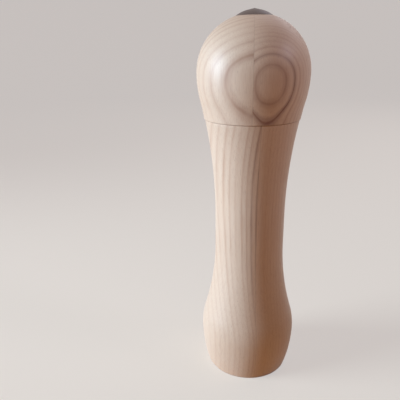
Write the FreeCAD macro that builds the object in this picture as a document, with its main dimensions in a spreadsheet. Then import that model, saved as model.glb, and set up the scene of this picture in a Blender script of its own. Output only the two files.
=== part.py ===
# A turned wooden pepper mill with a ceramic grinder that is set by a knob under its base.
# Millimetres. The mill stands on z = 0, and everything turns about the z axis.
import FreeCAD, Part
import math
import os
import re

import Sketcher
from FreeCAD import Placement, Rotation, Vector

# Driving dimensions: name, value and what it measures.
SIZES = [
    # outline of the turned wood, from the foot to the point of the cap
    ("bulb_r", 29.4, "radius of the bulb at its widest"),
    ("foot_inset", 4.15, "how far the foot lies inside the bulb"),
    ("foot_edge", 0.6, "chamfer round the foot"),
    ("foot_height", 25.8, "height of the bulb's widest place"),
    ("bulb_shoulder", 11.9, "rise from there to where the outline turns hollow"),
    ("taper_length", 57.6, "rise from the bulb's widest place to the neck"),
    ("waist_inset", 8.5, "how far the neck lies inside the bulb"),
    ("neck_length", 20.0, "straight stretch of the neck"),
    ("flare_length", 56.85, "rise from the neck to the joint under the head"),
    ("seam_edge", 0.35, "chamfer on both sides of the joint"),
    ("head_rise", 9.9, "rise from the joint to where the outline turns round"),
    ("head_belly", 25.0, "rise from the joint to the head's widest place"),
    ("head_swell", 10.35, "how far the head stands out from the neck"),
    ("crown_height", 29.05, "rise from the head's widest place to the cap"),
    ("cap_r", 9.95, "radius of the cap"),
    ("cap_dome", 3.25, "height of the cap's dome"),
    ("cap_nib", 0.45, "height of the point in the middle of the dome"),
    ("nib_r", 3.8, "radius of that point, where its cone runs on from the dome"),
    # bores and joints in the wood
    ("neck_wall", 8.4, "wood between the corn chamber and the neck"),
    ("tenon_wall", 5.0, "wall of the tenon on top of the body"),
    ("tenon_height", 8.0, "height of the tenon"),
    ("tenon_edge", 0.8, "chamfer round the tenon"),
    ("tenon_gap", 0.3, "clearance round and above the tenon"),
    ("peg_r", 5.0, "radius of the cap's peg"),
    ("peg_length", 11.0, "length of the cap's peg"),
    ("glue_gap", 0.1, "room for glue round the peg"),
    ("head_web", 6.0, "wood between the peg and the drive socket"),
    ("rim_width", 2.4, "width of the rim that the mill stands on"),
    ("wood_gap", 0.25, "clearance between wood and moulded pieces"),
    # drive socket in the head
    ("socket_overlap", 1.5, "how far the drive socket's flange reaches over the tenon"),
    ("socket_flange_thickness", 1.6, "thickness of that flange"),
    ("socket_wall", 3.9, "wall of the socket outside the corners of the shaft"),
    ("boss_edge", 0.8, "chamfer on top of the drive socket"),
    ("socket_lead", 1.2, "funnel at the socket's mouth"),
    ("hex_gap", 0.08, "sliding clearance round the hexagon"),
    ("ring_cord_r", 0.8, "cord radius of the grip ring"),
    ("ring_gap", 0.05, "clearance round the grip ring"),
    ("ring_depth", 4.0, "depth of the grip ring in the socket"),
    # screws
    ("screw_r", 1.1, "radius of the screw shanks"),
    ("screw_head_r", 2.0, "radius of the screw heads"),
    ("screw_length", 10.0, "length of the screws"),
    ("screw_point", 1.8, "length of the screw points"),
    ("screw_slot", 0.6, "width and depth of the slot in the heads"),
    ("screw_gap", 0.1, "clearance round the screws"),
    # shaft and its bearing
    ("hex_flats", 7.0, "width of the hexagonal shaft across its flats"),
    ("shaft_headroom", 6.0, "room above the shaft in the head"),
    ("shaft_chamfer", 0.9, "chamfer on top of the shaft"),
    ("journal_r", 3.25, "radius of the journal"),
    ("running_gap", 0.05, "radial clearance of what turns or slides"),
    ("square_relief", 0.07, "how far the square's corners lie inside the journal"),
    ("thread_relief", 0.25, "how far the thread lies inside the square"),
    ("thread_pitch", 0.7, "pitch of the adjusting thread"),
    ("bush_wall", 1.65, "wall of the bearing bush"),
    ("bush_flange", 1.45, "width of the bush's flange"),
    ("bush_flange_thickness", 1.0, "thickness of the bush's flange"),
    ("washer_thickness", 0.8, "thickness of the thrust washer"),
    # housing and spider
    ("flange_thickness", 2.5, "thickness of the housing's flange"),
    ("flange_width", 4.8, "width of the flange outside the sleeve"),
    ("flange_edge", 0.5, "chamfer round the flange's lower edge"),
    ("sleeve_wall", 1.5, "wall of the housing's sleeve"),
    ("sleeve_edge", 0.6, "chamfer on top of the sleeve"),
    ("seat_width", 2.4, "width of the shoulder that the stator seats on"),
    ("seat_height", 2.0, "height of that shoulder"),
    ("throat_wall", 2.5, "wall of the sleeve between the stator and the spider"),
    ("feed_height", 13.3, "height from the stator to the spider"),
    ("sleeve_lip", 1.0, "height of the sleeve above the spider"),
    ("bore_headroom", 1.0, "room above the sleeve in the wood"),
    ("fit_gap", 0.1, "clearance of pieces that are set into the housing"),
    ("spider_height", 5.0, "height of the spider"),
    ("spider_rim", 2.0, "width of the spider's rim"),
    ("spider_hub_wall", 1.85, "wall of the spider's hub"),
    ("spoke_width", 3.2, "width of the spider's arms"),
    ("key_r", 0.9, "radius of the keys that stop the stator turning"),
    # grinder
    ("stator_lift", 0.7, "height of the stator above the flange's seat"),
    ("stator_height", 15.0, "height of the stator"),
    ("stator_wall", 1.8, "wall of the stator behind its lower teeth"),
    ("stator_fine", 0.7, "depth of the stator's teeth at the bottom"),
    ("stator_coarse", 1.9, "depth of the stator's teeth at the top"),
    ("stator_teeth", 20, "number of the stator's teeth"),
    ("stator_twist", 18.0, "turn of the stator's teeth from bottom to top, degrees"),
    ("grind_gap", 0.55, "gap between the teeth at the middle setting"),
    ("rotor_lift", 1.3, "height of the rotor above the stator's lower face"),
    ("rotor_height", 15.0, "height of the rotor"),
    ("rotor_wall", 1.3, "wall of the rotor inside its upper teeth"),
    ("rotor_fine", 0.8, "depth of the rotor's teeth at the bottom"),
    ("rotor_coarse", 2.3, "depth of the rotor's teeth at the top"),
    ("rotor_teeth", 9, "number of the rotor's teeth"),
    ("rotor_twist", 50.0, "turn of the rotor's teeth from bottom to top, degrees"),
    ("core_wall", 0.8, "wall of the rotor's core outside the square"),
    ("core_gap", 0.03, "clearance between the rotor and its core"),
    ("core_flange", 2.8, "width of the flange under the rotor"),
    ("core_flange_thickness", 1.0, "thickness of that flange"),
    ("core_collar", 0.75, "width of the core's collar outside the spring"),
    ("core_collar_height", 1.0, "height of the core's collar"),
    ("clip_thickness", 0.9, "thickness of the stator's snap ring"),
    ("clip_depth", 0.7, "depth of the snap ring's groove"),
    ("clip_width", 2.3, "width of the snap ring"),
    ("clip_mouth", 5.0, "opening of the snap ring"),
    ("clip_lug_r", 1.5, "radius of the lugs on the snap ring"),
    ("clip_hole_r", 0.6, "radius of the holes in those lugs"),
    # spring
    ("wire_r", 0.45, "radius of the spring's wire"),
    ("spring_room", 0.7, "room between the spring and the journal"),
    ("spring_turns", 4.5, "turns of the spring"),
    ("spring_gap", 0.05, "clearance at the spring's ends"),
    # adjusting knob
    ("floor_gap", 0.7, "height of the shaft's end above the table"),
    ("shaft_tail", 0.9, "length of the shaft below its groove"),
    ("end_clip_thickness", 0.7, "thickness of the end clip"),
    ("end_clip_width", 2.05, "width of the end clip"),
    ("end_groove", 0.5, "depth of the end clip's groove"),
    ("end_slack", 0.35, "room left between the knob and the end clip"),
    ("knob_turns", 0.75, "turns of the knob to either side of the middle setting"),
    ("knob_r", 8.6, "radius of the knob"),
    ("knob_height", 5.8, "height of the knob"),
    ("knob_edge", 0.6, "chamfer round the knob"),
    ("knob_dish", 1.4, "depth of the hollow under the knob"),
    ("knob_rim", 2.6, "width of the knob's fluted rim"),
    ("knob_flutes", 14, "number of flutes round the knob"),
    ("flute_r", 1.1, "radius of the flutes"),
    ("flute_depth", 0.55, "depth of the flutes"),
    ("nut_flats", 7.0, "width of the nut across its flats"),
    ("nut_height", 3.2, "height of the nut"),
]

# Places and sizes that follow from the driving dimensions, as formulas of their names.
FOOT_R = "(bulb_r - foot_inset)"
NECK_R = "(bulb_r - waist_inset)"
HEAD_R = f"({NECK_R} + head_swell)"
NECK_LOW_Z = "(foot_height + taper_length)"
NECK_HIGH_Z = f"({NECK_LOW_Z} + neck_length)"
JOINT_Z = f"({NECK_HIGH_Z} + flare_length)"
HEAD_Z = f"({JOINT_Z} + head_belly)"
CAP_Z = f"({HEAD_Z} + crown_height)"
CHAMBER_R = f"({NECK_R} - neck_wall)"
TENON_R = f"({CHAMBER_R} + tenon_wall)"
TENON_TOP_Z = f"({JOINT_Z} + tenon_height)"

SOCKET_Z = f"({TENON_TOP_Z} + tenon_gap)"
SOCKET_SEAT_Z = f"({SOCKET_Z} + socket_flange_thickness)"
SOCKET_TOP_Z = f"({CAP_Z} - peg_length - glue_gap - head_web)"
HEX_R = "(hex_flats / sqrt(3))"
HEX_HOLE_R = "((hex_flats + 2 * hex_gap) / sqrt(3))"
BOSS_R = f"({HEX_HOLE_R} + socket_wall)"
SOCKET_FLANGE_R = f"({CHAMBER_R} + socket_overlap)"
SOCKET_SCREW_R = f"(({BOSS_R} + {SOCKET_FLANGE_R}) / 2)"
RING_R = f"({HEX_HOLE_R} + ring_cord_r)"

SQUARE_R = "(journal_r - square_relief)"
SQUARE_FLATS = f"({SQUARE_R} * sqrt(2))"
THREAD_R = f"({SQUARE_FLATS} / 2 - thread_relief)"
BUSH_BORE_R = "(journal_r + running_gap)"
BUSH_R = f"({BUSH_BORE_R} + bush_wall)"
BUSH_FLANGE_R = f"({BUSH_R} + bush_flange)"
SPRING_R = "(journal_r + spring_room + wire_r)"

FLANGE_R = f"({FOOT_R} - foot_edge - rim_width - wood_gap)"
SLEEVE_R = f"({FLANGE_R} - flange_width)"
SLEEVE_BORE_R = f"({SLEEVE_R} - sleeve_wall)"
HOUSING_SCREW_R = f"({SLEEVE_R} + flange_width / 2)"
STATOR_R = f"({SLEEVE_BORE_R} - fit_gap)"
STATOR_TIP_R = f"({STATOR_R} - stator_wall - stator_fine)"
CORE_FLATS = f"(2 * ({SQUARE_R} + running_gap * sqrt(2) + core_wall))"
CORE_R = f"({CORE_FLATS} / sqrt(3))"
CORE_FLANGE_R = f"({CORE_R} + core_flange)"
CORE_COLLAR_R = f"({SPRING_R} + wire_r + core_collar)"
ROTOR_TOP_R = f"({CORE_R} + core_gap + rotor_wall + rotor_coarse)"
NUT_R = "(nut_flats / sqrt(3))"

KNOB_TRAVEL = "(thread_pitch * knob_turns)"
END_CLIP_Z = "(floor_gap + shaft_tail + running_gap)"
END_GROOVE_TOP_Z = f"({END_CLIP_Z} + end_clip_thickness + running_gap)"
KNOB_Z = f"({END_GROOVE_TOP_Z} + end_slack + {KNOB_TRAVEL})"
CORE_Z = f"({KNOB_Z} + knob_height)"
ROTOR_Z = f"({CORE_Z} + core_flange_thickness)"
ROTOR_TOP_Z = f"({ROTOR_Z} + rotor_height)"
CORE_TOP_Z = f"({ROTOR_TOP_Z} + core_collar_height)"
STATOR_Z = f"({ROTOR_Z} - rotor_lift)"
STATOR_TOP_Z = f"({STATOR_Z} + stator_height)"
SEAT_Z = f"({STATOR_Z} - stator_lift)"
FLANGE_Z = f"({SEAT_Z} - flange_thickness)"
CLIP_Z = f"({STATOR_Z} - clip_thickness)"
SPIDER_Z = f"({STATOR_TOP_Z} + feed_height)"
SPIDER_TOP_Z = f"({SPIDER_Z} + spider_height)"
SLEEVE_TOP_Z = f"({SPIDER_TOP_Z} + sleeve_lip)"
BORE_TOP_Z = f"({SLEEVE_TOP_Z} + bore_headroom)"
WASHER_Z = f"({SPIDER_TOP_Z} + bush_flange_thickness)"
SHOULDER_Z = f"({WASHER_Z} + washer_thickness)"
SQUARE_Z = f"({CORE_Z} + 2 * {KNOB_TRAVEL})"
SHAFT_TOP_Z = f"({SOCKET_TOP_Z} - shaft_headroom)"

# Counts. The housing has a key for the stator midway between each two of its screws.
HOUSING_SCREWS = 3
SOCKET_SCREWS = 2
SPIDER_ARMS = 3
FULL_TURN = 360.0
SCREW_TURN = FULL_TURN / HOUSING_SCREWS / 2
ARM_TURN = FULL_TURN / SPIDER_ARMS / 2

# Shares of a grinding tooth's pitch at which its land and its back end, and levels of its lofts.
LAND_SHARE = 0.2
BACK_SHARE = 0.78
ROTOR_LEVELS = 6
STATOR_LEVELS = 3

# The end clip snaps over the shaft because its mouth is narrower than its bore by this share.
END_CLIP_MOUTH = 0.9
RELIEF_TURN = 60.0

doc = FreeCAD.newDocument("PepperMill")
sheet = doc.addObject("Spreadsheet::Sheet", "Dims")
for row, (alias, number, meaning) in enumerate(SIZES, start=1):
    sheet.set(f"A{row}", meaning)
    sheet.set(f"B{row}", str(number))
    sheet.setAlias(f"B{row}", alias)
doc.recompute()


def bind(formula):
    """The formula with each dimension's name pointing at its cell."""
    return re.sub(r"\b([a-z]+(?:_[a-z]+)+)\b", r"Dims.\1", formula)


def value(formula):
    """What the formula comes to now."""
    return float(sheet.evalExpression(bind(formula)))


def new_body(label):
    body = doc.addObject("PartDesign::Body", label)
    body.Label = label
    return body


def origin_feature(body, role):
    return [item for item in body.Origin.OriginFeatures if item.Role == role][0]


def new_sketch(body, name, role, height="0"):
    """A sketch on one of the body's own planes, raised by height."""
    sketch = body.newObject("Sketcher::SketchObject", name)
    sketch.AttachmentSupport = [(origin_feature(body, role), "")]
    sketch.MapMode = "FlatFace"
    sketch.setExpression("AttachmentOffset.Base.z", bind(height))
    return sketch


def arc_between(start, end, radius, side):
    """The short arc from start to end that bulges to that side of the way it goes."""
    chord = end - start
    middle = (start + end) * 0.5
    inward = Vector(-chord.y, chord.x, 0).normalize() * (1 if side == "right" else -1)
    height = math.sqrt(max(radius ** 2 - chord.Length ** 2 / 4, 0))
    centre = middle + inward * height
    first, last = (start, end) if side == "right" else (end, start)
    angles = [math.atan2(point.y - centre.y, point.x - centre.x) for point in (first, last)]
    return Part.ArcOfCircle(Part.Circle(centre, Vector(0, 0, 1), radius), *angles)


def draw_outline(sketch, *steps):
    """A closed outline of corners (across, up). An arc leads to a corner (across, up, radius, side)."""
    corners = [Vector(value(step[0]), value(step[1]), 0) for step in steps]
    begins, ends, radii = [], [], []
    for index, step in enumerate(steps):
        start, end = corners[index - 1], corners[index]
        if len(step) == 2:
            edge = sketch.addGeometry(Part.LineSegment(start, end), False)
            begin_point, end_point = 1, 2
        else:
            radius, side = step[2], step[3]
            edge = sketch.addGeometry(arc_between(start, end, value(radius), side), False)
            begin_point, end_point = (1, 2) if side == "right" else (2, 1)
            radii.append((edge, radius))
        begins.append((edge, begin_point))
        ends.append((edge, end_point))
    for index in range(len(steps)):
        sketch.addConstraint(Sketcher.Constraint("Coincident", *ends[index - 1], *begins[index]))
    for step, corner, point in zip(steps, corners, ends):
        places = (("DistanceX", -2, step[0], corner.x), ("DistanceY", -1, step[1], corner.y))
        for kind, axis, formula, number in places:
            if formula == "0":
                sketch.addConstraint(Sketcher.Constraint("PointOnObject", *point, axis))
            else:
                place = sketch.addConstraint(Sketcher.Constraint(kind, -1, 1, *point, number))
                sketch.setExpression(f"Constraints[{place}]", bind(formula))
    for edge, radius in radii:
        place = sketch.addConstraint(Sketcher.Constraint("Radius", edge, value(radius)))
        sketch.setExpression(f"Constraints[{place}]", bind(radius))


def revolve(body, name, *steps):
    """A full turn of the outline (radius, height) about the mill's axis."""
    sketch = new_sketch(body, f"{name}_outline", "XZ_Plane")
    draw_outline(sketch, *steps)
    feature = body.newObject("PartDesign::Revolution", name)
    feature.Profile = sketch
    feature.ReferenceAxis = (sketch, ["V_Axis"])
    feature.Angle = FULL_TURN
    doc.recompute()
    return feature


def add_form(body, kind, name, place, turn=0.0, **sizes):
    """One of the body's own primitive forms at place, turned about its own upright axis."""
    feature = body.newObject(f"PartDesign::{kind}", name)
    if "Prism" in kind:
        feature.Polygon = 6
    feature.Placement = Placement(Vector(), Rotation(Vector(0, 0, 1), turn))
    for key, formula in sizes.items():
        feature.setExpression(key, bind(formula))
    for axis, formula in zip("xyz", place):
        feature.setExpression(f"Placement.Base.{axis}", bind(formula))
    doc.recompute()
    return feature


def ring_of(body, name, features, count):
    """The features repeated round the mill's axis."""
    pattern = body.newObject("PartDesign::PolarPattern", name)
    pattern.Originals = features
    pattern.Axis = (origin_feature(body, "Z_Axis"), [""])
    pattern.Angle = FULL_TURN
    pattern.setExpression("Occurrences", bind(str(count)))
    body.Tip = pattern
    doc.recompute()
    return pattern


def screw_place(circle, turn):
    """Where a screw stands on its circle."""
    return f"{circle} * cos({turn}deg)", f"{circle} * sin({turn}deg)"


def cut_screw_holes(body, name, circle, turn, face_z, count, depth, sunk):
    """Upward screw holes from face_z, with or without a countersink."""
    across, along = screw_place(circle, turn)
    cuts = [add_form(body, "SubtractiveCylinder", f"{name}_hole", (across, along, face_z),
                     Radius="screw_r + screw_gap", Height=depth)]
    if sunk:
        cuts.append(add_form(body, "SubtractiveCone", f"{name}_sink", (across, along, face_z),
                             Radius1="screw_head_r + screw_gap", Radius2="screw_r + screw_gap",
                             Height="screw_head_r - screw_r"))
    ring_of(body, f"{name}_holes", cuts, count)


def reach_of_ogee(inset, length):
    """Radius of an arc, or both radii of an S-curve, that leaves upright and goes in by inset over length."""
    return f"((({inset}) ^ 2 + ({length}) ^ 2) / (2 * ({inset})))"


# Outline of the lower S-curve, from the bulb to the neck.
LOWER_REACH = reach_of_ogee("waist_inset", "taper_length")
BULB_ARC_R = f"{LOWER_REACH} * bulb_shoulder / taper_length"
WAIST_ARC_R = f"{LOWER_REACH} * (taper_length - bulb_shoulder) / taper_length"
BULB_TURN = ("(bulb_r - waist_inset * bulb_shoulder / taper_length)", "(foot_height + bulb_shoulder)")
FOOT_ARC_R = reach_of_ogee("foot_inset", "foot_height - foot_edge")

# Outline of the upper S-curve, from the neck to the head: the joint lies on its hollow arc.
UPPER_LENGTH = "(flare_length + head_belly)"
UPPER_REACH = reach_of_ogee("head_swell", UPPER_LENGTH)
FLARE_ARC_R = f"({UPPER_REACH} * (flare_length + head_rise) / {UPPER_LENGTH})"
BELLY_ARC_R = f"({UPPER_REACH} * (head_belly - head_rise) / {UPPER_LENGTH})"
BELLY_TURN = (f"({NECK_R} + head_swell * (flare_length + head_rise) / {UPPER_LENGTH})",
              f"({JOINT_Z} + head_rise)")
CROWN_ARC_R = reach_of_ogee(f"{HEAD_R} - cap_r", "crown_height")


def flare_radius(rise):
    """Radius of the hollow arc at that rise above the neck."""
    return f"({NECK_R} + {FLARE_ARC_R} - sqrt({FLARE_ARC_R} ^ 2 - ({rise}) ^ 2))"


BODY_LIP_R = flare_radius("flare_length - seam_edge")
HEAD_LIP_R = flare_radius("flare_length + seam_edge")


def make_body():
    body = new_body("body")
    recess_r = f"({FLANGE_R} + wood_gap)"
    bore_r = f"({SLEEVE_R} + wood_gap)"
    revolve(
        body, "turned_body",
        (recess_r, "0"),
        (f"{FOOT_R} - foot_edge", "0"),
        (FOOT_R, "foot_edge"),
        ("bulb_r", "foot_height", FOOT_ARC_R, "right"),
        (*BULB_TURN, BULB_ARC_R, "right"),
        (NECK_R, NECK_LOW_Z, WAIST_ARC_R, "left"),
        (NECK_R, NECK_HIGH_Z),
        (BODY_LIP_R, f"{JOINT_Z} - seam_edge", FLARE_ARC_R, "left"),
        (f"{BODY_LIP_R} - seam_edge", JOINT_Z),
        (TENON_R, JOINT_Z),
        (TENON_R, f"{TENON_TOP_Z} - tenon_edge"),
        (f"{TENON_R} - tenon_edge", TENON_TOP_Z),
        (CHAMBER_R, TENON_TOP_Z),
        (CHAMBER_R, BORE_TOP_Z),
        (bore_r, BORE_TOP_Z),
        (bore_r, SEAT_Z),
        (recess_r, SEAT_Z),
    )
    cut_screw_holes(body, "pilot", HOUSING_SCREW_R, SCREW_TURN, SEAT_Z, HOUSING_SCREWS, "screw_length",
                    sunk=False)
    return body


def make_head():
    body = new_body("head")
    peg_hole_z = f"{CAP_Z} - peg_length - glue_gap"
    boss_bore_r = f"{BOSS_R} + wood_gap"
    mortise_r = f"{TENON_R} + tenon_gap"
    revolve(
        body, "turned_head",
        (mortise_r, JOINT_Z),
        (f"{HEAD_LIP_R} - seam_edge", JOINT_Z),
        (HEAD_LIP_R, f"{JOINT_Z} + seam_edge"),
        (*BELLY_TURN, FLARE_ARC_R, "left"),
        (HEAD_R, HEAD_Z, BELLY_ARC_R, "right"),
        ("cap_r", CAP_Z, CROWN_ARC_R, "right"),
        ("peg_r + glue_gap", CAP_Z),
        ("peg_r + glue_gap", peg_hole_z),
        ("0", peg_hole_z),
        ("0", SOCKET_TOP_Z),
        (boss_bore_r, SOCKET_TOP_Z),
        (boss_bore_r, SOCKET_SEAT_Z),
        (mortise_r, SOCKET_SEAT_Z),
    )
    cut_screw_holes(body, "pilot", SOCKET_SCREW_R, 0.0, SOCKET_SEAT_Z, SOCKET_SCREWS, "screw_length",
                    sunk=False)
    return body


def make_top_cap():
    body = new_body("top_cap")
    dome_r = reach_of_ogee("cap_dome", "cap_r")
    revolve(
        body, "turned_cap",
        ("0", f"{CAP_Z} - peg_length"),
        ("peg_r", f"{CAP_Z} - peg_length"),
        ("peg_r", CAP_Z),
        ("cap_r", CAP_Z),
        ("nib_r", f"{CAP_Z} + cap_dome - {dome_r} + sqrt(({dome_r}) ^ 2 - nib_r ^ 2)", dome_r, "right"),
        ("0", f"{CAP_Z} + cap_dome + cap_nib"),
    )
    return body


def make_drive_socket():
    body = new_body("drive_socket")
    boss_top_z = f"{SOCKET_TOP_Z} - wood_gap"
    revolve(
        body, "flange_and_boss",
        ("0", SOCKET_Z),
        (SOCKET_FLANGE_R, SOCKET_Z),
        (SOCKET_FLANGE_R, SOCKET_SEAT_Z),
        (BOSS_R, SOCKET_SEAT_Z),
        (BOSS_R, f"{boss_top_z} - boss_edge"),
        (f"{BOSS_R} - boss_edge", boss_top_z),
        ("0", boss_top_z),
    )
    add_form(body, "SubtractivePrism", "hex_hole", ("0", "0", SOCKET_Z),
             Circumradius=HEX_HOLE_R, Height=f"{SOCKET_TOP_Z} - {SOCKET_Z}")
    add_form(body, "SubtractiveCone", "lead_in", ("0", "0", SOCKET_Z),
             Radius1=f"{HEX_HOLE_R} + socket_lead", Radius2=HEX_HOLE_R, Height="socket_lead")
    groove_z = f"{SOCKET_Z} + ring_depth - ring_cord_r - ring_gap"
    add_form(body, "SubtractiveCylinder", "ring_groove", ("0", "0", groove_z),
             Radius=f"{RING_R} + ring_cord_r + ring_gap", Height="2 * (ring_cord_r + ring_gap)")
    cut_screw_holes(body, "flange", SOCKET_SCREW_R, 0.0, SOCKET_Z, SOCKET_SCREWS, "socket_flange_thickness",
                    sunk=True)
    return body


def make_grip_ring():
    ring = doc.addObject("Part::Torus", "grip_ring")
    ring.setExpression("Radius1", bind(RING_R))
    ring.setExpression("Radius2", bind("ring_cord_r"))
    ring.setExpression("Placement.Base.z", bind(f"{SOCKET_Z} + ring_depth"))
    return ring


def make_screws(label, circle, turn, face_z, count):
    """Slotted countersunk screws, heads down, evenly spaced on a circle."""
    screws = []
    for number in range(count):
        across, along = screw_place(circle, turn + FULL_TURN * number / count)
        shank_z = f"{face_z} + screw_head_r - screw_r"
        point_z = f"{face_z} + screw_length - screw_point"
        forms = (
            ("Part::Cone", face_z, {"Radius1": "screw_head_r", "Radius2": "screw_r",
                                    "Height": "screw_head_r - screw_r"}),
            ("Part::Cylinder", shank_z, {"Radius": "screw_r",
                                         "Height": "screw_length - screw_point - screw_head_r + screw_r"}),
            ("Part::Cone", point_z, {"Radius1": "screw_r", "Radius2": "screw_r / 4",
                                     "Height": "screw_point"}),
        )
        solids = []
        for kind, height, sizes in forms:
            solid = doc.addObject(kind, f"{label}_form")
            for key, formula in sizes.items():
                solid.setExpression(key, bind(formula))
            for axis, formula in zip("xyz", (across, along, height)):
                solid.setExpression(f"Placement.Base.{axis}", bind(formula))
            solids.append(solid)
        blank = doc.addObject("Part::MultiFuse", f"{label}_blank")
        blank.Shapes = solids
        blank.Refine = True
        slot = doc.addObject("Part::Box", f"{label}_slot")
        slot.setExpression("Length", bind("2 * screw_head_r"))
        slot.setExpression("Width", bind("screw_slot"))
        slot.setExpression("Height", bind("screw_slot"))
        corner = (f"{across} - screw_head_r", f"{along} - screw_slot / 2", face_z)
        for axis, formula in zip("xyz", corner):
            slot.setExpression(f"Placement.Base.{axis}", bind(formula))
        screw = doc.addObject("Part::Cut", f"{label}_screw")
        screw.Base = blank
        screw.Tool = slot
        screws.append(screw)
    group = doc.addObject("Part::Compound", label)
    group.Label = label
    group.Links = screws
    return group


def make_shaft():
    body = new_body("shaft")
    groove_r = f"{THREAD_R} - end_groove"
    groove_z = "floor_gap + shaft_tail"
    revolve(
        body, "turned_end",
        ("0", "floor_gap"),
        (f"{THREAD_R} - end_groove / 2", "floor_gap"),
        (THREAD_R, "floor_gap + end_groove / 2"),
        (THREAD_R, groove_z),
        (groove_r, groove_z),
        (groove_r, END_GROOVE_TOP_Z),
        (THREAD_R, END_GROOVE_TOP_Z),
        (THREAD_R, SQUARE_Z),
        ("0", SQUARE_Z),
    )
    journal_z = f"({SPIDER_Z} - spring_room)"
    half = f"-{SQUARE_FLATS} / 2"
    add_form(body, "AdditiveBox", "square_drive", (half, half, SQUARE_Z),
             Length=SQUARE_FLATS, Width=SQUARE_FLATS, Height=f"{journal_z} - {SQUARE_Z}")
    add_form(body, "AdditiveCylinder", "journal", ("0", "0", journal_z),
             Radius="journal_r", Height=f"{SHOULDER_Z} - {journal_z}")
    hexagon = add_form(body, "AdditivePrism", "hexagon", ("0", "0", SHOULDER_Z),
                       Circumradius=HEX_R, Height=f"{SHAFT_TOP_Z} - {SHOULDER_Z}")
    top_z = value(SHAFT_TOP_Z)
    rim = [f"Edge{number}" for number, edge in enumerate(hexagon.Shape.Edges, start=1)
           if all(abs(vertex.Z - top_z) < 1e-6 for vertex in edge.Vertexes)]
    chamfer = body.newObject("PartDesign::Chamfer", "top_chamfer")
    chamfer.Base = (hexagon, rim)
    chamfer.setExpression("Size", bind("shaft_chamfer"))
    return body


def make_thrust_washer():
    body = new_body("thrust_washer")
    bore_r = f"{BUSH_BORE_R} + running_gap"
    revolve(
        body, "washer",
        (bore_r, WASHER_Z),
        (BUSH_FLANGE_R, WASHER_Z),
        (BUSH_FLANGE_R, SHOULDER_Z),
        (bore_r, SHOULDER_Z),
    )
    return body


def make_bearing_bush():
    body = new_body("bearing_bush")
    revolve(
        body, "flanged_bush",
        (BUSH_BORE_R, SPIDER_Z),
        (BUSH_R, SPIDER_Z),
        (BUSH_R, SPIDER_TOP_Z),
        (BUSH_FLANGE_R, SPIDER_TOP_Z),
        (BUSH_FLANGE_R, WASHER_Z),
        (BUSH_BORE_R, WASHER_Z),
    )
    return body


def make_spider():
    body = new_body("spider")
    hub_bore_r = f"({BUSH_R} + core_gap)"
    hub_r = f"({hub_bore_r} + spider_hub_wall)"
    rim_r = f"({STATOR_R} - spider_rim)"
    revolve(
        body, "disc",
        (hub_bore_r, SPIDER_Z),
        (STATOR_R, SPIDER_Z),
        (STATOR_R, SPIDER_TOP_Z),
        (hub_bore_r, SPIDER_TOP_Z),
    )
    window = new_sketch(body, "window_outline", "XY_Plane", SPIDER_TOP_Z)
    half = "(spoke_width / 2)"

    def corner(radius, side):
        """Where the near edge of the arm to that side of the window meets a circle."""
        along = f"sqrt({radius} ^ 2 - {half} ^ 2)"
        turn = f"{ARM_TURN}deg"
        return (f"{along} * cos({turn}) + {half} * sin({turn})",
                f"{side}({along} * sin({turn}) - {half} * cos({turn}))")

    draw_outline(
        window,
        (*corner(hub_r, "-"), hub_r, "left"),
        corner(rim_r, "-"),
        (*corner(rim_r, ""), rim_r, "right"),
        corner(hub_r, ""),
    )
    pocket = body.newObject("PartDesign::Pocket", "window")
    pocket.Profile = window
    pocket.setExpression("Length", bind("spider_height"))
    doc.recompute()
    ring_of(body, "windows", [pocket], SPIDER_ARMS)
    return body


def make_housing():
    body = new_body("housing")
    seat_r = f"({SLEEVE_BORE_R} - seat_width)"
    throat_r = f"({SLEEVE_R} - throat_wall)"
    groove_r = f"({SLEEVE_BORE_R} + clip_depth)"
    seat_top_z = f"({STATOR_TOP_Z} + seat_height)"
    revolve(
        body, "sleeve_and_flange",
        (SLEEVE_BORE_R, FLANGE_Z),
        (f"{FLANGE_R} - flange_edge", FLANGE_Z),
        (FLANGE_R, f"{FLANGE_Z} + flange_edge"),
        (FLANGE_R, SEAT_Z),
        (SLEEVE_R, SEAT_Z),
        (SLEEVE_R, f"{SLEEVE_TOP_Z} - sleeve_edge"),
        (f"{SLEEVE_R} - sleeve_edge", SLEEVE_TOP_Z),
        (SLEEVE_BORE_R, SLEEVE_TOP_Z),
        (SLEEVE_BORE_R, SPIDER_Z),
        (throat_r, SPIDER_Z),
        (throat_r, f"{seat_top_z} + {throat_r} - {seat_r}"),
        (seat_r, seat_top_z),
        (seat_r, STATOR_TOP_Z),
        (SLEEVE_BORE_R, STATOR_TOP_Z),
        (SLEEVE_BORE_R, STATOR_Z),
        (groove_r, STATOR_Z),
        (groove_r, f"{CLIP_Z} - core_gap"),
        (SLEEVE_BORE_R, f"{CLIP_Z} - core_gap"),
    )
    key = add_form(body, "AdditiveCylinder", "stator_key", (SLEEVE_BORE_R, "0", STATOR_Z),
                   Radius="key_r", Height="stator_height")
    ring_of(body, "stator_keys", [key], HOUSING_SCREWS)
    cut_screw_holes(body, "flange", HOUSING_SCREW_R, SCREW_TURN, FLANGE_Z, HOUSING_SCREWS, "flange_thickness",
                    sunk=True)
    return body


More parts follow.
